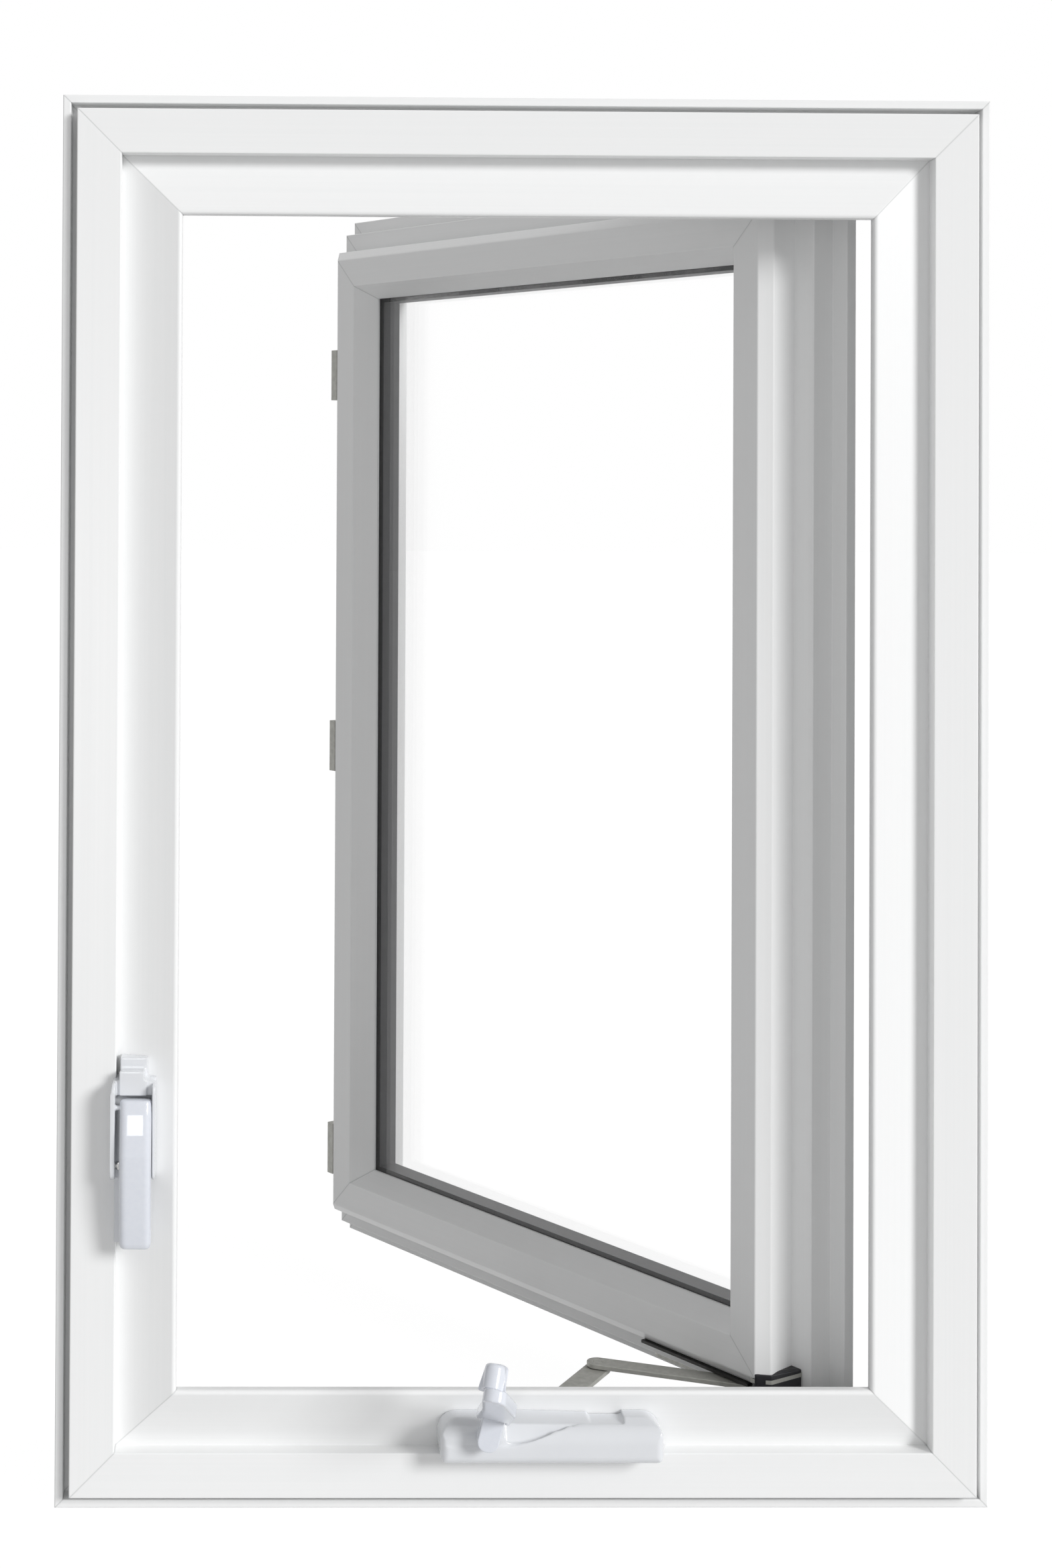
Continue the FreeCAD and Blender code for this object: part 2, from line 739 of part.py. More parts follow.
def make_keepers():
    edge = -half + sash_inset + sash_edge
    front = sash_room + sash_bevel - keeper_back / 2
    plates = [box(edge - keeper_proud, edge, front, front + keeper_depth, level - keeper_height / 2,
                  level + keeper_height / 2) for level in keeper_levels]
    return opened(Part.makeCompound(plates))


def main():
    os.makedirs("parts", exist_ok=True)
    nodes = make_frame()
    nodes["operator_base"] = make_base()
    nodes["operator_cover"] = make_cover(nodes["frame_sill"])
    nodes.update(make_lock(nodes["frame_jamb_lock"]))
    openings = [base_box(base_fit), arm_mouth(-overcut, base_fit)]
    nodes["frame_sill"] = largest(nodes["frame_sill"].cut(openings))
    nodes.update(make_sash())
    nodes.update(make_glazing())
    nodes["frame_seal"] = make_seal()
    nodes.update(make_hinges())
    nodes.update(make_operator_arms())
    nodes["hinge_block"] = make_hinge_block()
    nodes.update(make_crank())
    nodes["lock_bar"] = make_lock_bar()
    nodes["keepers"] = make_keepers()
    for name, shape in sorted(nodes.items()):
        shape.exportStep("parts/" + name + ".step")
        print(name, len(shape.Solids), round(shape.Volume), shape.isValid())


main()
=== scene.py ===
import math

import bmesh
import bpy
from mathutils import Matrix, Vector


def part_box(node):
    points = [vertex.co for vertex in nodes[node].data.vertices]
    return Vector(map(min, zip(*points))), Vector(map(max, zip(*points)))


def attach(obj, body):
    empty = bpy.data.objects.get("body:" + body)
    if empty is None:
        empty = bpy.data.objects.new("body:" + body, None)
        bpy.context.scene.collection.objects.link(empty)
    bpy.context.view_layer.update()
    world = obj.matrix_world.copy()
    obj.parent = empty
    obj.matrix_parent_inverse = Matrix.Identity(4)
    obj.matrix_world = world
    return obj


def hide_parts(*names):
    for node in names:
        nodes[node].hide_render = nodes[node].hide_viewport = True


# A white vinyl casement window, opened outwards by its crank, in a plain bright studio.
# Lengths are metres. X runs right as seen from the room, Y to the outside, Z up.

MM = 0.001
HALF_WIDTH = 298.5 * MM
HEIGHT = 902 * MM
ROOM_FACE = -41.5 * MM

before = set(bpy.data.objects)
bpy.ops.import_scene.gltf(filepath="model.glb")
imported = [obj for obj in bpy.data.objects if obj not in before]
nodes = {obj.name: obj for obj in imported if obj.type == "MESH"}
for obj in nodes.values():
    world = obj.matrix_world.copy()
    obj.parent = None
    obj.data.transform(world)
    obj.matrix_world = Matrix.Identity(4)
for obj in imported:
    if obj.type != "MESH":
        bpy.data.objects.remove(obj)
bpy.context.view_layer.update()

# The sash turns by OPEN about its shoe's pin while the shoe slides back by TRAVEL.
OPEN = math.radians(55)
TRAVEL = Vector((2 * 56.9 * MM * (1 - math.cos(OPEN)), 0, 0))
SHOE = Vector((239.6 * MM, 22.5 * MM, 0))
closing = Matrix.Translation(SHOE) @ Matrix.Rotation(OPEN, 4, "Z") @ Matrix.Translation(TRAVEL - SHOE)
opening = closing.inverted()


def linear(code):
    """An sRGB hex colour as the linear colour that a shader takes."""
    parts = [int(code[i:i + 2], 16) / 255 for i in (1, 3, 5)]
    return [c / 12.92 if c <= 0.04045 else ((c + 0.055) / 1.055) ** 2.4 for c in parts] + [1.0]


def add(tree, kind, links=None, values=None, **settings):
    """Add a node with its settings, its socket values and its links."""
    made = tree.nodes.new(kind)
    for name, value in settings.items():
        setattr(made, name, value)
    for socket, value in (values or {}).items():
        made.inputs[socket].default_value = value
    for socket, source in (links or {}).items():
        tree.links.new(source, made.inputs[socket])
    return made


def blank(name):
    """A new material with an empty node tree."""
    material = bpy.data.materials.new(name)
    material.use_nodes = True
    material.node_tree.nodes.clear()
    return material, material.node_tree


def surface(name, colours, roughness, grain, bump, **sockets):
    """A material whose colour and roughness wander between two values over a noise pattern.

    colours and roughness give the two ends, grain the size in metres that the pattern
    repeats at along X, Y and Z, and bump the height of its relief in metres.
    """
    material, tree = blank(name)
    place = add(tree, "ShaderNodeTexCoord").outputs["Object"]
    sized = add(tree, "ShaderNodeMapping", {"Vector": place}, {"Scale": [1 / size for size in grain]})
    noise = add(tree, "ShaderNodeTexNoise", {"Vector": sized.outputs[0]}, {"Scale": 1.0, "Detail": 3.0})
    tint = add(tree, "ShaderNodeMix", {0: noise.outputs["Fac"]},
               {6: linear(colours[0]), 7: linear(colours[1])}, data_type="RGBA")
    dull = add(tree, "ShaderNodeMapRange", {"Value": noise.outputs["Fac"]},
               {"From Min": 0.3, "From Max": 0.7, "To Min": roughness[0], "To Max": roughness[1]})
    relief = add(tree, "ShaderNodeBump", {"Height": noise.outputs["Fac"]}, {"Strength": 0.5, "Distance": bump})
    shader = add(tree, "ShaderNodeBsdfPrincipled",
                 {"Base Color": tint.outputs[2], "Roughness": dull.outputs[0], "Normal": relief.outputs[0]}, sockets)
    add(tree, "ShaderNodeOutputMaterial", {"Surface": shader.outputs[0]})
    return material


def welded_vinyl(name, grain, on_sash=False):
    """Rigid PVC drawn through a die, cut at 45 degrees and welded at the corners.

    Satin white with faint draw lines 1.5 mm apart along the member. The weld bead is planed
    off, which leaves a seam some 1 mm wide along each mitre, a little duller and sunk.
    """
    material, tree = blank(name)
    place = add(tree, "ShaderNodeTexCoord").outputs["Object"]
    if on_sash:
        place = add(tree, "ShaderNodeMapping", {"Vector": place},
                    {"Location": closing.translation, "Rotation": (0, 0, OPEN)}).outputs[0]
    axes = add(tree, "ShaderNodeSeparateXYZ", {0: place})
    side = add(tree, "ShaderNodeMath", {0: axes.outputs[0]}, operation="ABSOLUTE")
    across = add(tree, "ShaderNodeMath", {1: side.outputs[0]}, {0: HALF_WIDTH}, operation="SUBTRACT")
    down = add(tree, "ShaderNodeMath", {1: axes.outputs[2]}, {0: HEIGHT}, operation="SUBTRACT")
    up = add(tree, "ShaderNodeMath", {0: axes.outputs[2], 1: down.outputs[0]}, operation="MINIMUM")
    apart = add(tree, "ShaderNodeMath", {0: across.outputs[0], 1: up.outputs[0]}, operation="SUBTRACT")
    apart = add(tree, "ShaderNodeMath", {0: apart.outputs[0]}, operation="ABSOLUTE")
    seam = add(tree, "ShaderNodeMapRange", {"Value": apart.outputs[0]},
               {"From Min": 0.25 * MM, "From Max": 0.8 * MM, "To Min": 1.0, "To Max": 0.0})

    sized = add(tree, "ShaderNodeMapping", {"Vector": place}, {"Scale": [1 / size for size in grain]})
    lines = add(tree, "ShaderNodeTexNoise", {"Vector": sized.outputs[0]}, {"Scale": 1.0, "Detail": 3.0})
    white = add(tree, "ShaderNodeMix", {0: lines.outputs["Fac"]},
                {6: linear("#F7F7F7"), 7: linear("#F2F3F3")}, data_type="RGBA")
    tint = add(tree, "ShaderNodeMix", {0: seam.outputs[0], 6: white.outputs[2]},
               {7: linear("#DCDDDD")}, data_type="RGBA")
    satin = add(tree, "ShaderNodeMapRange", {"Value": lines.outputs["Fac"]},
                {"From Min": 0.3, "From Max": 0.7, "To Min": 0.30, "To Max": 0.38})
    dull = add(tree, "ShaderNodeMix", {0: seam.outputs[0], 2: satin.outputs[0]}, {3: 0.6}, data_type="FLOAT")
    drawn = add(tree, "ShaderNodeBump", {"Height": lines.outputs["Fac"]}, {"Strength": 0.5, "Distance": 0.02 * MM})
    sunk = add(tree, "ShaderNodeBump", {"Height": seam.outputs[0], "Normal": drawn.outputs[0]},
               {"Strength": 0.6, "Distance": 0.15 * MM}, invert=True)
    shader = add(tree, "ShaderNodeBsdfPrincipled",
                 {"Base Color": tint.outputs[2], "Roughness": dull.outputs[0], "Normal": sunk.outputs[0]})
    add(tree, "ShaderNodeOutputMaterial", {"Surface": shader.outputs[0]})
    return material


def float_glass():
    """Clear float glass: colourless when looked through, smooth, with faint rolling waves."""
    material, tree = blank("float glass")
    place = add(tree, "ShaderNodeTexCoord").outputs["Object"]
    # The waves are some 90 mm long and only show in a reflection.
    waves = add(tree, "ShaderNodeTexNoise", {"Vector": place}, {"Scale": 11.0, "Detail": 1.0})
    relief = add(tree, "ShaderNodeBump", {"Height": waves.outputs["Fac"]}, {"Strength": 0.1, "Distance": 0.02 * MM})
    shader = add(tree, "ShaderNodeBsdfPrincipled", {"Normal": relief.outputs[0]},
                 {"Base Color": linear("#FFFFFF"), "Roughness": 0.0, "IOR": 1.52, "Transmission Weight": 1.0})
    add(tree, "ShaderNodeOutputMaterial", {"Surface": shader.outputs[0]})
    return material


DRAWN = 1.5 * MM
RUN = 400 * MM
vinyl_upright = welded_vinyl("extruded PVC, upright", (DRAWN, DRAWN, RUN))
vinyl_level = welded_vinyl("extruded PVC, level", (RUN, DRAWN, DRAWN))
vinyl_sash_upright = welded_vinyl("extruded PVC, sash stile", (DRAWN, DRAWN, RUN), on_sash=True)
vinyl_sash_level = welded_vinyl("extruded PVC, sash rail", (RUN, DRAWN, DRAWN), on_sash=True)
glass = float_glass()
# Injection moulded ABS: glossy, with a slight ripple some 25 mm long from the mould.
moulded = surface("moulded ABS", ("#E4E6E9", "#DEE0E4"), (0.10, 0.15), [25 * MM] * 3, 0.10 * MM,
                  **{"Coat Weight": 0.3, "Coat Roughness": 0.06})
# Die-cast zinc under white enamel: glossy and a little bluish, with soft orange peel 3 mm apart.
enamel = surface("enamelled die-cast zinc", ("#E2E5EC", "#DADEE7"), (0.12, 0.18), [3 * MM] * 3, 0.01 * MM,
                 **{"Coat Weight": 0.5, "Coat Roughness": 0.05})
# Galvanised steel strip: dull grey metal with crystals a few millimetres wide.
galvanised = surface("galvanised steel", ("#B7B7B1", "#A09F9A"), (0.40, 0.58), [4 * MM] * 3, 0.01 * MM,
                     **{"Metallic": 0.4})
# Stainless steel screws and rivets: bright, with a turned finish.
stainless = surface("stainless steel", ("#C9C9C8", "#B4B4B3"), (0.18, 0.28), [1 * MM] * 3, 0.005 * MM,
                    **{"Metallic": 1.0})
# Phosphated and oiled spring steel: nearly black, with a low sheen.
blackened = surface("phosphated steel", ("#2E2D2B", "#232220"), (0.38, 0.55), [6 * MM] * 3, 0.01 * MM,
                    **{"Metallic": 0.4})
# Moulded acetal: black and slightly waxy.
acetal = surface("moulded acetal", ("#1B1B1E", "#242428"), (0.35, 0.45), [5 * MM] * 3, 0.01 * MM)
# Foamed EPDM rubber: matt, pale grey, with a fine skin of pores.
rubber = surface("foamed EPDM", ("#8F908F", "#9B9C9B"), (0.75, 0.9), [1 * MM] * 3, 0.05 * MM)
# Warm-edge spacer: dark blue-black plastic with a faint grain.
spacer = surface("warm-edge spacer", ("#101116", "#1A1C23"), (0.45, 0.6), [1.5 * MM] * 3, 0.02 * MM)

finishes = {
    vinyl_upright: ["frame_jamb_lock", "frame_jamb_hinge"],
    vinyl_level: ["frame_head", "frame_sill"],
    vinyl_sash_upright: ["sash_lock_stile", "sash_hinge_stile", "bead_lock_side", "bead_hinge_side"],
    vinyl_sash_level: ["sash_top_rail", "sash_bottom_rail", "bead_top", "bead_bottom"],
    glass: ["glass_inner", "glass_outer"],
    spacer: ["glass_spacer"],
    rubber: ["frame_seal"],
    galvanised: ["hinge_track_bottom", "hinge_track_top", "support_arm_bottom", "support_arm_top",
                 "sash_arm_bottom", "sash_arm_top", "operator_base", "lock_bar", "keepers",
                 "drive_arm", "link_arm"],
    blackened: ["link_bracket"],
    acetal: ["hinge_shoe_bottom", "hinge_shoe_top", "hinge_block"],
    moulded: ["operator_cover", "lock_escutcheon"],
    enamel: ["crank_hub", "crank_arm", "crank_knob", "lock_lever"],
}


def coat(piece, material):
    """Give every face of a piece one material."""
    if not piece.material_slots:
        piece.data.materials.append(material)
    for held in piece.material_slots:
        held.material = material


def clear():
    """Deselect everything, so that the next operator acts on its own piece alone."""
    bpy.ops.object.select_all(action="DESELECT")


def take(piece):
    """Select one piece alone and make it active."""
    clear()
    piece.select_set(True)
    bpy.context.view_layer.objects.active = piece


def pick(kind, test):
    """In edit mode, select the vertices, edges or faces for which test(middle) holds."""
    bpy.ops.mesh.select_mode(type=kind)
    bpy.ops.mesh.select_all(action="DESELECT")
    mesh = bmesh.from_edit_mesh(bpy.context.edit_object.data)
    if kind == "VERT":
        for vertex in mesh.verts:
            vertex.select_set(test(vertex.co))
    else:
        for part in mesh.edges if kind == "EDGE" else mesh.faces:
            middle = sum((vertex.co for vertex in part.verts), Vector()) / len(part.verts)
            part.select_set(test(middle))
    bmesh.update_edit_mesh(bpy.context.edit_object.data)


def shift(test, way):
    """In edit mode, move the vertices for which test(place) holds."""
    pick("VERT", test)
    bpy.ops.transform.translate(value=way)


def shift_closed(test, way):
    """The same on the sash, with the place and the way as they are when it is closed."""
    shift(lambda place: test(closing @ place), opening.to_3x3() @ Vector(way))


def corners(node):
    """The low and the high corner of a CAD node's box."""
    return [Vector(corner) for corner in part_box(node)]


def modify(piece, kind, **settings):
    """Add a modifier with its settings and apply it."""
    take(piece)
    modifier = piece.modifiers.new(kind.lower(), kind)
    for name, value in settings.items():
        setattr(modifier, name, value)
    bpy.ops.object.modifier_apply(modifier=modifier.name)


def smooth(piece, angle=35):
    """Shade a piece smooth across edges flatter than this angle."""
    take(piece)
    bpy.ops.object.shade_smooth_by_angle(angle=math.radians(angle))


def install(piece, material, body):
    """Coat a finished piece and fix it to the body that carries it."""
    coat(piece, material)
    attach(piece, body)


def eased(name, node, material, body, ease, steps=4):
    """A CAD node's shape with its sharp edges rounded by this much, in place of the node."""
    piece = merged(name, node)
    edit_flattened(piece)
    bpy.ops.object.mode_set(mode="OBJECT")
    modify(piece, "BEVEL", width=ease, segments=steps, limit_method="ANGLE", angle_limit=math.radians(32),
           miter_outer="MITER_ARC", use_clamp_overlap=True)
    smooth(piece, 60)
    modify(piece, "WEIGHTED_NORMAL", weight=60, keep_sharp=True)
    install(piece, material, body)
    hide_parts(node)
    return piece


def merged(name, node):
    """A copy of a CAD node's mesh with its loose triangles joined."""
    piece = bpy.data.objects.new(name, nodes[node].data.copy())
    bpy.context.scene.collection.objects.link(piece)
    take(piece)
    bpy.ops.object.mode_set(mode="EDIT")
    bpy.ops.mesh.select_all(action="SELECT")
    bpy.ops.mesh.remove_doubles(threshold=0.002 * MM)
    bpy.ops.object.mode_set(mode="OBJECT")
    return piece


def edit_flattened(piece):
    """Open a piece in edit mode, all selected, with the triangles of each flat face made one."""
    take(piece)
    bpy.ops.object.mode_set(mode="EDIT")
    bpy.ops.mesh.select_all(action="SELECT")
    bpy.ops.mesh.dissolve_limited(angle_limit=math.radians(0.5))


def cut_away(piece, cutter, operation="DIFFERENCE"):
    """Take a cutter's space out of a piece, or with INTERSECT keep only that, and drop the cutter."""
    modify(piece, "BOOLEAN", operation=operation, object=cutter, solver="EXACT")
    take(cutter)
    bpy.ops.object.delete()


def cutting_box(low, high):
    """Box between two corners, given in millimetres."""
    clear()
    middle = [(a + b) / 2 * MM for a, b in zip(low, high)]
    size = [(b - a) * MM for a, b in zip(low, high)]
    bpy.ops.mesh.primitive_cube_add(size=1, location=middle, scale=size)
    return bpy.context.object


def gather(piece, other):
    """Join another mesh into a piece."""
    clear()
    other.select_set(True)
    piece.select_set(True)
    bpy.context.view_layer.objects.active = piece
    bpy.ops.object.join()


def cast_in_a_mould(piece, node, material, body, grain, passes):
    """Give a piece the soft edges of a moulding or casting, in place of its node.

    The skin is drawn again in squares of this grain and evened out this many times, which
    rounds an edge by about the grain times the root of the passes.
    """
    modify(piece, "REMESH", mode="VOXEL", voxel_size=grain)
    modify(piece, "SMOOTH", factor=0.5, iterations=passes)
    modify(piece, "DECIMATE", ratio=0.4)
    smooth(piece, 80)
    install(piece, material, body)
    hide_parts(node)


def moulded_cover():
    """Operator cover: the CAD shape with a trough behind its curved rim and a pocket at its end."""
    piece = merged("moulded_cover", "operator_cover")
    # Skins over and in front of the gear base close the hollow under the trough.
    for low, high in (((-50.0, -56.0, 58.2), (62.0, -37.0, 61.0)),
                      ((-30.0, -58.0, 46.0), (50.0, -53.7, 59.0)),
                      ((-30.0, -60.0, 46.0), (50.0, -53.7, 55.2))):
        gather(piece, cutting_box(low, high))
    # Four points across the trough at each X: the rim's foot, the gutter's far side, the top of
    # the slope and the rear edge, each as how far it lies from the room face and its height
    measured = [
        (-14.0, (-18.6, 51.8), (-18.0, 52.2), (-12.4, 62.2), (5.5, 64.6)),
        (-4.0, (-18.6, 51.6), (-16.4, 52.2), (-12.4, 61.8), (5.5, 64.6)),
        (5.8, (-18.6, 53.0), (-14.8, 53.8), (-12.3, 61.6), (5.5, 64.5)),
        (13.0, (-17.1, 54.9), (-13.8, 55.6), (-12.2, 61.4), (5.5, 64.3)),
        (20.6, (-15.6, 57.0), (-13.2, 57.4), (-12.0, 61.3), (5.5, 64.0)),
        (27.0, (-13.8, 59.4), (-12.8, 59.6), (-11.8, 61.3), (5.5, 63.8)),
        (34.0, (-12.6, 60.8), (-12.3, 60.9), (-11.6, 61.3), (5.5, 63.6)),
        (39.6, (-12.6, 61.0), (-12.3, 61.1), (-11.6, 61.3), (5.5, 63.5)),
        (41.2, (-12.6, 61.0), (-12.3, 61.1), (-11.6, 61.3), (5.5, 61.6)),
        (62.0, (-12.6, 61.0), (-12.3, 61.1), (-11.6, 61.3), (5.5, 61.6)),
    ]
    parts = 6
    columns = []
    for start, end in zip(measured, measured[1:]):
        for part in range(parts):
            share = part / parts
            columns.append((start[0] + share * (end[0] - start[0]),
                            *(tuple(a + share * (b - a) for a, b in zip(one, other))
                              for one, other in zip(start[1:], end[1:]))))
    columns.append(measured[-1])
    clear()
    bpy.ops.mesh.primitive_grid_add(x_subdivisions=len(columns) - 1, y_subdivisions=3, size=1)
    trough = bpy.context.object
    for number, vertex in enumerate(trough.data.vertices):
        column = columns[number % len(columns)]
        back, height = column[1 + number // len(columns)]
        vertex.co = (column[0] * MM, ROOM_FACE + back * MM, height * MM)
    bpy.ops.object.transform_apply(location=True, rotation=True, scale=True)
    bpy.ops.object.mode_set(mode="EDIT")
    bpy.ops.mesh.select_all(action="SELECT")
    bpy.ops.mesh.extrude_region_move(TRANSFORM_OT_translate={"value": (0, 0, 25 * MM)})
    bpy.ops.mesh.select_all(action="SELECT")
    bpy.ops.mesh.normals_make_consistent(inside=False)
    bpy.ops.object.mode_set(mode="OBJECT")
    # The two front corners are rounded in plan as well.
    block = cutting_box((-54.7, -61.6, 30.0), (86.5, -10.0, 80.0))
    bpy.ops.object.transform_apply(location=True, rotation=True, scale=True)
    bpy.ops.object.mode_set(mode="EDIT")
    pick("EDGE", lambda middle: middle.y < -61 * MM and abs(middle.z - 55 * MM) < 5 * MM)
    bpy.ops.mesh.bevel(offset=6 * MM, segments=8)
    bpy.ops.object.mode_set(mode="OBJECT")
    modify(piece, "REMESH", mode="VOXEL", voxel_size=0.5 * MM)
    cut_away(piece, trough)
    cut_away(piece, block, "INTERSECT")
    cast_in_a_mould(piece, "operator_cover", moulded, "frame", 0.55 * MM, 9)


def cast_lever():
    """Lock lever, drawn down from its head along a shallow bow with a full, rounded section."""
    left, right = -257.0 * MM, -236.8 * MM
    # The lug that its pin passes through is the CAD shape's own.
    lug = merged("lever_lug", "lock_lever")
    cut_away(lug, cutting_box((-275.0, -80.0, 150.0), (-220.0, -52.5, 300.0)))
    clear()
    bpy.ops.mesh.primitive_plane_add(size=1, location=((left + right) / 2, ROOM_FACE - 14 * MM, 265.6 * MM))
    piece = bpy.context.object
    piece.name = "cast_lever"
    piece.scale = (right - left, 9 * MM, 1)
    bpy.ops.object.transform_apply(location=True, rotation=True, scale=True)
    bpy.ops.object.mode_set(mode="EDIT")
    pick("VERT", lambda place: True)
    bpy.ops.mesh.bevel(offset=4.3 * MM, segments=6, affect="VERTICES")
    # Steps down the lever: how far down, how far towards the room and how much thinner
    for down, out, thin in ((8, 2.4, 1.0), (12, 2.8, 0.95), (14, 1.3, 0.92), (14, -0.5, 0.96), (15, -1.4, 1.0),
                            (15, -1.8, 1.0), (12, -2.0, 1.0), (3.6, -0.6, 0.8)):
        bpy.ops.mesh.select_mode(type="FACE")
        bpy.ops.mesh.extrude_region_move(TRANSFORM_OT_translate={"value": (0, -out * MM, -down * MM)})
        bpy.ops.transform.resize(value=(1 if thin > 0.9 else 0.9, thin, 1))
    bpy.ops.mesh.select_all(action="SELECT")
    bpy.ops.mesh.normals_make_consistent(inside=False)
    bpy.ops.object.mode_set(mode="OBJECT")
    modify(piece, "BEVEL", width=2.2 * MM, segments=3, limit_method="ANGLE", angle_limit=math.radians(60))
    gather(piece, lug)
    cast_in_a_mould(piece, "lock_lever", enamel, "lock_lever", 0.55 * MM, 12)


def moulded_lock():
    """Lock housing: the CAD shape with shoulders that fall from the cap to the side rails."""
    piece = merged("moulded_lock", "lock_escutcheon")
    # Each cutter's two corners, which of its lower edges moves and how far: the left shoulder's
    # slope, the right shoulder's step and the cap's top
    for low, high, moves, way in (
            ((-275.0, -70.0, 267.0), (-257.8, -25.0, 300.0), lambda place: place.x > -260 * MM, (-5.7, 0, 0)),
            ((-242.0, -70.0, 277.0), (-230.0, -41.0, 300.0), lambda place: place.x > -235 * MM, (0, 0, -5.0)),
            ((-275.0, -70.0, 284.5), (-225.0, -41.0, 300.0), lambda place: place.y > -45 * MM, (0, 0, -3.5))):
        cutter = cutting_box(low, high)
        bpy.ops.object.transform_apply(location=True, rotation=True, scale=True)
        bpy.ops.object.mode_set(mode="EDIT")
        shift(lambda place: place.z < 299 * MM and moves(place), [part * MM for part in way])
        bpy.ops.object.mode_set(mode="OBJECT")
        cut_away(piece, cutter)
    cast_in_a_mould(piece, "lock_escutcheon", moulded, "frame", 0.5 * MM, 12)


def crank_grip():
    """Folding knob with a skirt that spreads over the end of the crank's arm."""
    piece = merged("crank_grip", "crank_knob")
    middle = sum(corners("crank_knob"), Vector()) / 2
    along = (middle - sum(corners("crank_arm"), Vector()) / 2).normalized()
    reach = max((vertex.co - middle).dot(along) for vertex in piece.data.vertices)
    take(piece)
    bpy.ops.object.mode_set(mode="EDIT")
    pick("VERT", lambda place: (place - middle).dot(along) < -0.2 * reach)
    bpy.ops.transform.resize(value=(1.35, 1.35, 1.15))
    bpy.ops.object.mode_set(mode="OBJECT")
    cast_in_a_mould(piece, "crank_knob", enamel, "crank_arm", 0.4 * MM, 14)


# Where the boot's vertices part, measured with the sash closed
BOOT_FRONT = ROOM_FACE + 28.5 * MM
BOOT_REAR = ROOM_FACE + 40 * MM
BOOT_LINK_SIDE = 232.5 * MM
BOOT_OUTER_SIDE = 235 * MM


def corner_boot():
    """Black moulded boot round the sash's lower hinge corner, its rear end rising."""
    piece = merged("corner_boot", "hinge_block")
    low, high = corners("hinge_block")
    edit_flattened(piece)
    bpy.ops.transform.shrink_fatten(value=1.4 * MM, use_even_offset=True)
    # The front face stays behind the seal that the closed sash meets.
    shift_closed(lambda place: place.y < BOOT_FRONT, (0, 0.9 * MM, 0))
    # The side that the link arm swings up to keeps its gap.
    shift_closed(lambda place: place.x < BOOT_LINK_SIDE, (1.2 * MM, 0, 0))
    shift(lambda place: place.z < low.z, (0, 0, 1.2 * MM))
    shift(lambda place: place.z > high.z - 0.5 * MM, (0, 0, 9.0 * MM))
    shift_closed(lambda place: place.z > high.z and place.y > BOOT_REAR, (0, 0, 2.4 * MM))
    # Its outer rear corner reaches over the flange.
    shift_closed(lambda place: place.y > BOOT_REAR and place.x > BOOT_OUTER_SIDE, (8.5 * MM, 0, 0))
    bpy.ops.object.mode_set(mode="OBJECT")
    modify(piece, "BEVEL", width=0.6 * MM, segments=3, limit_method="ANGLE", angle_limit=math.radians(32))
    smooth(piece, 50)
    install(piece, acetal, "sash")
    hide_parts("hinge_block")


def corner_strip():
    """Bent steel strip let into the sides of the black boot, rising to the rear with it."""
    piece = merged("corner_strip", "hinge_block")
    low, _ = corners("hinge_block")
    edit_flattened(piece)
    bpy.ops.transform.shrink_fatten(value=1.7 * MM, use_even_offset=True)
    shift_closed(lambda place: place.y < BOOT_FRONT, (0, 1.0 * MM, 0))
    shift(lambda place: place.z < low.z, (0, 0, 19.0 * MM))
    shift(lambda place: place.z < 62 * MM, (0, 0, 5.2 * MM))
    shift_closed(lambda place: place.y > BOOT_REAR, (0, 0, 4.0 * MM))
    shift_closed(lambda place: place.y > BOOT_REAR and place.x > BOOT_OUTER_SIDE, (8.6 * MM, 0, 0))
    bpy.ops.object.mode_set(mode="OBJECT")
    smooth(piece, 30)
    install(piece, galvanised, "sash")


def bulb_seal():
    """Hollow bulb seal that the closed sash presses on, run round the frame's lip."""
    low, high = corners("frame_seal")
    radius = (high.y - low.y) / 2
    middle = (low + high) / 2
    clear()
    bpy.ops.mesh.primitive_plane_add(size=1, location=middle, rotation=(math.radians(90), 0, 0))
    piece = bpy.context.object
    piece.name = "bulb_seal"
    piece.scale = (high.x - low.x - 2 * radius, high.z - low.z - 2 * radius, 1)
    bpy.ops.object.transform_apply(location=True, rotation=True, scale=True)
    bpy.ops.object.mode_set(mode="EDIT")
    bpy.ops.mesh.select_all(action="SELECT")
    bpy.ops.mesh.bevel(offset=3 * radius, segments=4, affect="VERTICES")
    bpy.ops.mesh.delete(type="ONLY_FACE")
    bpy.ops.object.mode_set(mode="OBJECT")
    bpy.ops.object.convert(target="CURVE")
    piece = bpy.context.object
    piece.data.bevel_depth = radius
    piece.data.bevel_resolution = 4
    bpy.ops.object.convert(target="MESH")
    piece = bpy.context.object
    smooth(piece, 60)
    install(piece, rubber, "frame")
    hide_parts("frame_seal")


def screw_pattern():
    """Pan head screw with a cross recess, modelled once, facing up from the origin, 1 m wide."""
    clear()
    bpy.ops.mesh.primitive_cylinder_add(vertices=28, radius=0.5, depth=0.3, location=(0, 0, 0.15))
    head = bpy.context.object
    bpy.ops.object.transform_apply(location=True, rotation=True, scale=True)
    bpy.ops.object.mode_set(mode="EDIT")
    pick("FACE", lambda middle: middle.z > 0.29)
    bpy.ops.mesh.bevel(offset=0.22, segments=5)
    bpy.ops.object.mode_set(mode="OBJECT")
    for turn in (0, 90):
        clear()
        bpy.ops.mesh.primitive_cube_add(size=1, location=(0, 0, 0.27), scale=(0.52, 0.11, 0.24),
                                        rotation=(0, 0, math.radians(turn)))
        cut_away(head, bpy.context.object)
    smooth(head, 30)
    return head


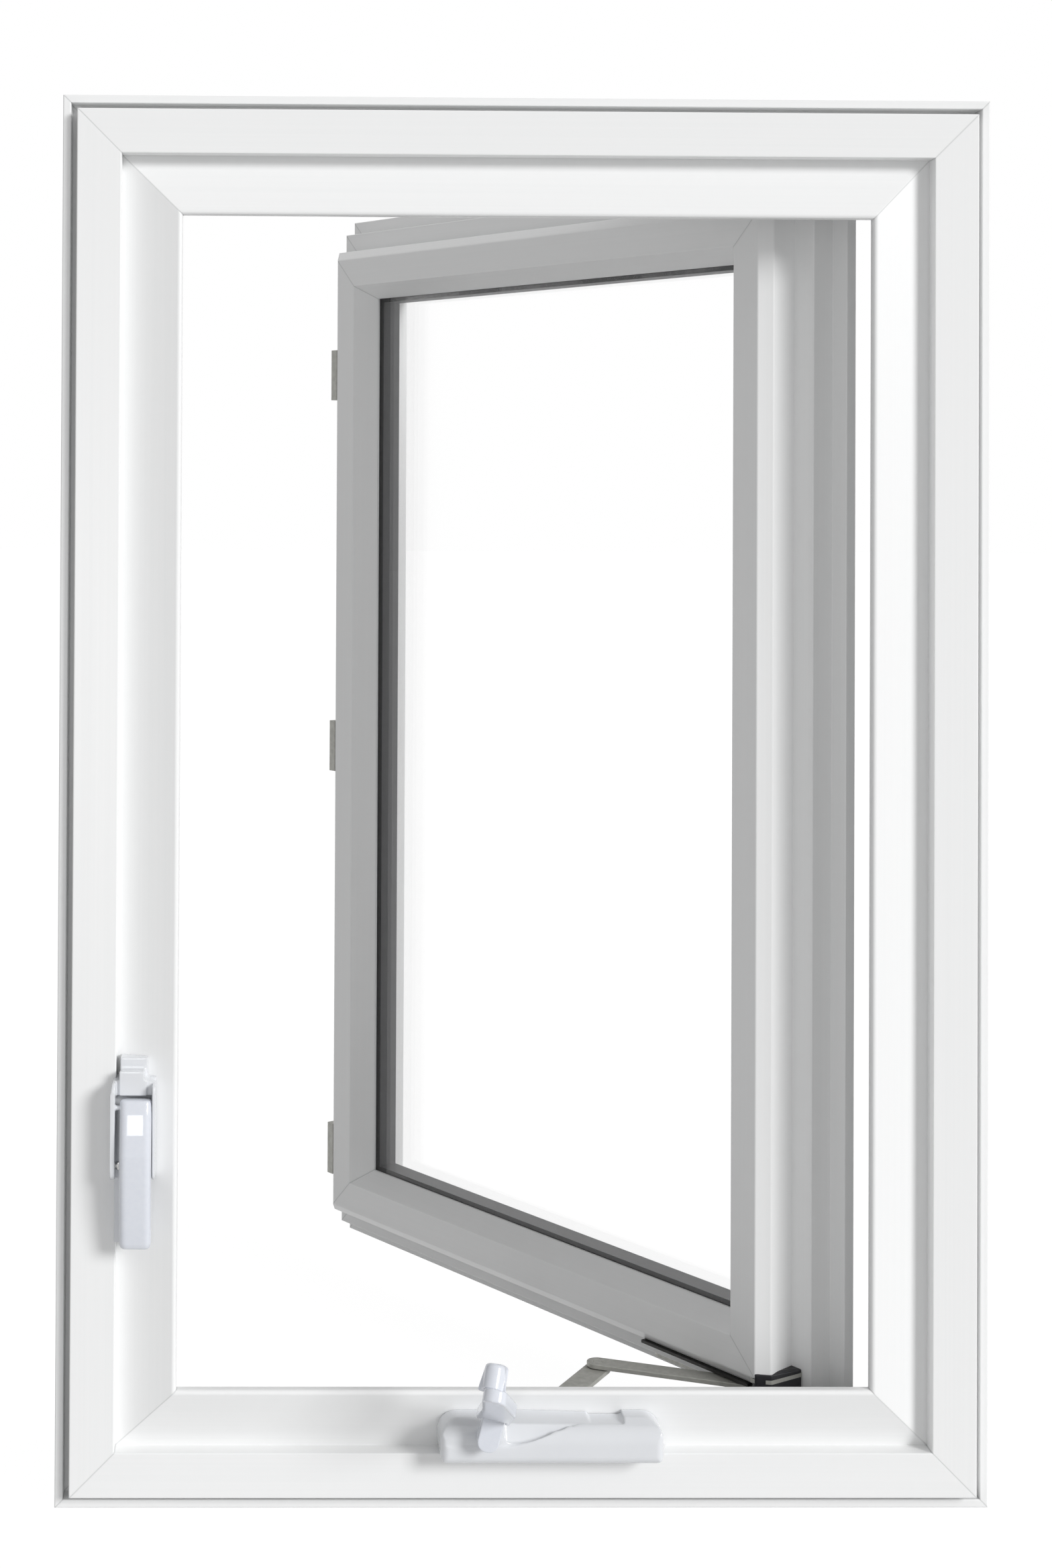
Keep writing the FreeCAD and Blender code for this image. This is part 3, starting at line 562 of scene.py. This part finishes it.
def screws(name, pattern, places, facing, across, body):
    """Copies of the screw at these places, their heads this far across and facing one way."""
    turn = Vector((0, 0, 1)).rotation_difference(facing).to_matrix().to_4x4()
    for number, place in enumerate(places, 1):
        piece = bpy.data.objects.new(f"{name}_{number}", pattern.data.copy())
        bpy.context.scene.collection.objects.link(piece)
        piece.data.transform(Matrix.Translation(place) @ turn @ Matrix.Scale(across, 4))
        install(piece, stainless, body)


def fasteners():
    """Screws of the keepers, of the hinge tracks and of the lock's plate."""
    pattern = screw_pattern()
    stile = -HALF_WIDTH + 59.5 * MM
    keeper_face = ROOM_FACE + 37 * MM
    outwards = (opening.to_3x3() @ Vector((-1, 0, 0))).normalized()
    levels = [109 * MM, HEIGHT / 2 - 13 * MM, HEIGHT - 160 * MM]
    keeper_places = [opening @ Vector((stile - 7 * MM, keeper_face, level + offset))
                     for level in levels for offset in (-13 * MM, 13 * MM)]
    screws("keeper_screw", pattern, keeper_places, outwards, 5 * MM, "sash")
    # Countersunk in the track's floor, which the shoe passes 0.3 mm above.
    floor = 22 * MM
    sunk = 1.3 * MM
    track_middle = 22.5 * MM
    right = HALF_WIDTH - 30 * MM
    for end, level, facing in (("bottom", floor, 1), ("top", HEIGHT - floor, -1)):
        places = [Vector((right - along, track_middle, level - facing * sunk))
                  for along in (12 * MM, 92 * MM, 182 * MM)]
        screws("track_screw_" + end, pattern, places, Vector((0, 0, facing)), 5 * MM, "frame")
    plate = ROOM_FACE - 3 * MM
    screws("lock_screw", pattern, [Vector((-258.2 * MM, plate, 221 * MM))], Vector((0, -1, 0)), 5.6 * MM,
           "frame")
    take(pattern)
    bpy.ops.object.delete()


for material, names in finishes.items():
    for name in names:
        coat(nodes[name], material)

moulded_cover()
# Each with its node, its body, its grain and how often it is evened out
for name, node, body, grain, passes in (
        ("cast_hub", "crank_hub", "crank_hub", 0.4 * MM, 8),
        ("cast_crank", "crank_arm", "crank_arm", 0.6 * MM, 14)):
    cast_in_a_mould(merged(name, node), node, enamel, body, grain, passes)
crank_grip()
moulded_lock()
cast_lever()
corner_boot()
eased("drive_strip", "drive_arm", galvanised, "drive_arm", 0.35 * MM, steps=2)
eased("link_strip", "link_arm", galvanised, "link_arm", 0.35 * MM, steps=2)
corner_strip()
bulb_seal()
fasteners()


def seen_by_eye(tree):
    """1 for a ray that comes from the camera, off a glossy face or through glass, and 0 for the rest."""
    path = add(tree, "ShaderNodeLightPath")
    seen = add(tree, "ShaderNodeMath", {0: path.outputs["Is Camera Ray"], 1: path.outputs["Is Glossy Ray"]},
               operation="MAXIMUM")
    return add(tree, "ShaderNodeMath", {0: seen.outputs[0], 1: path.outputs["Is Transmission Ray"]},
               operation="MAXIMUM").outputs[0]


def studio():
    """Pale floor and white surroundings, with the camera where the photograph was taken from."""
    clear()
    bpy.ops.mesh.primitive_plane_add(size=30, location=(0, 6, -0.0005))
    floor = bpy.context.object
    floor.name = "studio_floor"
    material, tree = blank("pale floor")
    part = add(tree, "ShaderNodeMath", {0: seen_by_eye(tree)}, {1: 0.85}, operation="MULTIPLY")
    matt = add(tree, "ShaderNodeBsdfDiffuse", values={"Color": linear("#D8D8D8")})
    white = add(tree, "ShaderNodeEmission", values={"Color": (1, 1, 1, 1), "Strength": 1.13})
    mixed = add(tree, "ShaderNodeMixShader", {0: part.outputs[0], 1: matt.outputs[0], 2: white.outputs[0]})
    add(tree, "ShaderNodeOutputMaterial", {"Surface": mixed.outputs[0]})
    floor.data.materials.append(material)

    world = bpy.data.worlds.new("white surroundings")
    world.use_nodes = True
    bpy.context.scene.world = world
    tree = world.node_tree
    tree.nodes.clear()
    level = add(tree, "ShaderNodeMapRange", {"Value": seen_by_eye(tree)}, {"To Min": 0.40, "To Max": 1.0})
    sky = add(tree, "ShaderNodeBackground", {"Strength": level.outputs[0]}, {"Color": (1, 1, 1, 1)})
    add(tree, "ShaderNodeOutputWorld", {"Surface": sky.outputs[0]})

    # A wide, soft key from the right leaves the faces that turn left or down in shade.
    key = bpy.data.objects.new("wide soft key", bpy.data.lights.new("wide soft key", "SUN"))
    bpy.context.scene.collection.objects.link(key)
    key.data.energy = 2.1
    key.data.angle = math.radians(20)
    key.rotation_euler = Vector((-0.655, 0.650, -0.385)).to_track_quat("-Z", "Y").to_euler()
    # A small panel behind the camera draws the highlights along the glossy pieces.
    panel = bpy.data.objects.new("small panel", bpy.data.lights.new("small panel", "AREA"))
    bpy.context.scene.collection.objects.link(panel)
    panel.data.shape = "RECTANGLE"
    panel.data.size = 0.16
    panel.data.size_y = 0.5
    panel.data.energy = 1.9
    panel.location = (-0.35, -1.9, 0.42)
    panel.rotation_euler = Vector((0.15, 1.9, -0.15)).to_track_quat("-Z", "Y").to_euler()

    camera = bpy.data.objects.new("camera", bpy.data.cameras.new("camera"))
    bpy.context.scene.collection.objects.link(camera)
    camera.data.lens = 54.981
    camera.data.shift_x = 0.14902
    camera.data.shift_y = -0.21075
    camera.location = (-0.17014, -1.56732, 0.65516)
    camera.rotation_euler = [math.radians(turn) for turn in (90.6497, -0.2999, -0.7424)]
    bpy.context.scene.camera = camera
    bpy.context.scene.view_settings.view_transform = "Standard"


studio()
